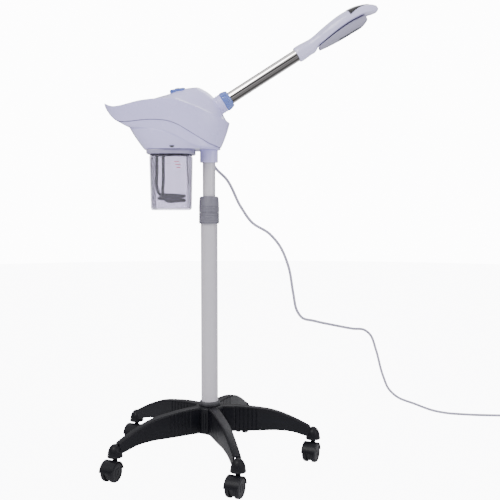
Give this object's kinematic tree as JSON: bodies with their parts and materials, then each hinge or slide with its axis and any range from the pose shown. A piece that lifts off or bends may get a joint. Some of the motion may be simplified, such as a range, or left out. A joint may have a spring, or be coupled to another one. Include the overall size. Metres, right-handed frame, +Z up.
{
  "type": "facial steamer",
  "caption": "Wheeled facial steamer: beaked boiler head over a clear water jar, height-adjustable mast on a star base, raised chrome steam arm with a turning spray head.",
  "frame": {"origin": "on the floor at the centre of the box of everything but the free cord, its coil and its plug", "axes": "+Z up; the steam arm points along +X and the beak of the head along -X; +Y is to the rear, away from the jar's front face"},
  "size_m": [1.1216, 0.6504, 0.9828],
  "materials": {
    "base_black": "moulded nylon, fine satin",
    "castor_black": "moulded, satin",
    "wheel_black": "hard rubber tread",
    "dark_rubber": "matte",
    "steel": "satin stainless",
    "pole_silver": "silver enamel, satin",
    "mast_silver": "silver enamel, satin",
    "collar_grey": "turned rings, satin",
    "nylon": "natural nylon",
    "shell_white": "white with a cool tint, gloss",
    "ring_white": "white, semi-gloss",
    "spray_white": "white, gloss",
    "module_grey": "heat-resistant grey",
    "grille_grey": "moulded",
    "window_black": "black, mirror gloss",
    "jar_clear": "clear, faint lavender tint",
    "plate_grey": "die cast",
    "duct_white": "silicone duct",
    "translucent_blue": "translucent blue, gloss",
    "button_white": "white, semi-gloss",
    "lens_green": "clear green lens",
    "board_green": "printed board",
    "lamp_glass": "quartz",
    "chrome": "mirror chrome",
    "cord_white": "soft vinyl, satin",
    "plated_brass": "nickel plated"
  },
  "bodies": {
    "base": {"star_base": "base_black", "lower_pole": "pole_silver", "pole_foot_ring": "dark_rubber", "collar_sleeve": "collar_grey"},
    "clamp": {"clamp_nut": "collar_grey"},
    "mast_bush": {"pole_bush": "nylon", "cord_coil": "cord_white", "plug_body": "cord_white", "plug_pin_a": "plated_brass", "plug_pin_b": "plated_brass"},
    "head": {"upper_pole": "mast_silver", "upper_shell": "shell_white", "lower_shell": "shell_white", "jar_ring": "ring_white", "jar_gasket": "dark_rubber", "boiler_plate": "plate_grey", "heating_element": "steel", "level_probe": "steel", "splash_filter": "steel", "steam_duct": "duct_white", "thermal_cutout": "steel", "power_module": "board_green", "circuit_board": "board_green", "ozone_lamp": "lamp_glass", "control_panel": "translucent_blue", "indicator_lens": "lens_green", "arm_neck": "shell_white", "tube_seal": "dark_rubber", "strain_relief": "cord_white", "cord": "cord_white"},
    "jar": {"jar": "jar_clear"},
    "arm_nut": {"arm_nut": "translucent_blue"},
    "arm_tube": {"steam_tube": "chrome"},
    "spray_head": {"spray_cover": "spray_white", "nozzle_module": "module_grey", "outlet_grille": "grille_grey", "spray_window": "window_black"},
    "power_button": {"power_button": "button_white"},
    "ozone_button": {"ozone_button": "button_white"},
    "castor_1": {"castor_1_housing": "castor_black"},
    "castor_1_wheels": {"castor_1_wheel_left": "wheel_black", "castor_1_wheel_right": "wheel_black", "castor_1_axle": "steel"},
    "castor_2": {"castor_2_housing": "castor_black"},
    "castor_2_wheels": {"castor_2_wheel_left": "wheel_black", "castor_2_wheel_right": "wheel_black", "castor_2_axle": "steel"},
    "castor_3": {"castor_3_housing": "castor_black"},
    "castor_3_wheels": {"castor_3_wheel_left": "wheel_black", "castor_3_wheel_right": "wheel_black", "castor_3_axle": "steel"},
    "castor_4": {"castor_4_housing": "castor_black"},
    "castor_4_wheels": {"castor_4_wheel_left": "wheel_black", "castor_4_wheel_right": "wheel_black", "castor_4_axle": "steel"},
    "castor_5": {"castor_5_housing": "castor_black"},
    "castor_5_wheels": {"castor_5_wheel_left": "wheel_black", "castor_5_wheel_right": "wheel_black", "castor_5_axle": "steel"}
  },
  "joints": [
    {"name": "castor_1_swivel", "type": "hinge", "parent": "base", "child": "castor_1", "pos_m": [0.1591, 0.012, 0.0467], "axis": [0, 0, 1], "continuous": true},
    {"name": "castor_1_roll", "type": "hinge", "parent": "castor_1", "child": "castor_1_wheels", "pos_m": [0.15386, -0.00098, 0.0206], "axis": [0.9272, -0.3746, 0], "continuous": true},
    {"name": "castor_2_swivel", "type": "hinge", "parent": "base", "child": "castor_2", "pos_m": [0.00252, 0.22751, 0.0467], "axis": [0, 0, 1], "continuous": true},
    {"name": "castor_2_roll", "type": "hinge", "parent": "castor_2", "child": "castor_2_wheels", "pos_m": [-0.00272, 0.21453, 0.0206], "axis": [0.9272, -0.3746, 0], "continuous": true},
    {"name": "castor_3_swivel", "type": "hinge", "parent": "base", "child": "castor_3", "pos_m": [-0.25082, 0.14519, 0.0467], "axis": [0, 0, 1], "continuous": true},
    {"name": "castor_3_roll", "type": "hinge", "parent": "castor_3", "child": "castor_3_wheels", "pos_m": [-0.25607, 0.13221, 0.0206], "axis": [0.9272, -0.3746, 0], "continuous": true},
    {"name": "castor_4_swivel", "type": "hinge", "parent": "base", "child": "castor_4", "pos_m": [-0.25082, -0.12119, 0.0467], "axis": [0, 0, 1], "continuous": true},
    {"name": "castor_4_roll", "type": "hinge", "parent": "castor_4", "child": "castor_4_wheels", "pos_m": [-0.25607, -0.13417, 0.0206], "axis": [0.9272, -0.3746, 0], "continuous": true},
    {"name": "castor_5_swivel", "type": "hinge", "parent": "base", "child": "castor_5", "pos_m": [0.00252, -0.20351, 0.0467], "axis": [0, 0, 1], "continuous": true},
    {"name": "castor_5_roll", "type": "hinge", "parent": "castor_5", "child": "castor_5_wheels", "pos_m": [-0.00272, -0.21649, 0.0206], "axis": [0.9272, -0.3746, 0], "continuous": true},
    {"name": "clamp_twist", "type": "hinge", "parent": "base", "child": "clamp", "pos_m": [-0.0675, 0.012, 0.5419], "axis": [0, 0, 1], "range_deg": [-90, 0]},
    {"name": "head_swivel", "type": "hinge", "parent": "base", "child": "mast_bush", "pos_m": [-0.0675, 0.012, 0.5], "axis": [0, 0, 1], "range_deg": [-170, 170]},
    {"name": "mast_raise", "type": "slide", "parent": "mast_bush", "child": "head", "axis": [0, 0, 1], "range_m": [-0.07, 0.25]},
    {"name": "jar_twist", "type": "hinge", "parent": "head", "child": "jar", "pos_m": [-0.1485, 0.012, 0.6486], "axis": [0, 0, 1], "range_deg": [-25, 0]},
    {"name": "arm_nut_twist", "type": "hinge", "parent": "head", "child": "arm_nut", "pos_m": [-0.0675, 0.012, 0.7567], "axis": [0.8443, 0, 0.5358], "range_deg": [-120, 0]},
    {"name": "arm_turn", "type": "hinge", "parent": "head", "child": "arm_tube", "pos_m": [-0.0675, 0.012, 0.7567], "axis": [0.8443, 0, 0.5358], "range_deg": [-90, 90]},
    {"name": "spray_turn", "type": "hinge", "parent": "arm_tube", "child": "spray_head", "pos_m": [-0.0675, 0.012, 0.7567], "axis": [0.8443, 0, 0.5358], "range_deg": [-175, 175]},
    {"name": "power_press", "type": "slide", "parent": "head", "child": "power_button", "axis": [0.1702, 0, -0.9854], "range_m": [0, 0.002], "stiffness_N_per_m": 400},
    {"name": "ozone_press", "type": "slide", "parent": "head", "child": "ozone_button", "axis": [0.1702, 0, -0.9854], "range_m": [0, 0.002], "stiffness_N_per_m": 400}
  ]
}
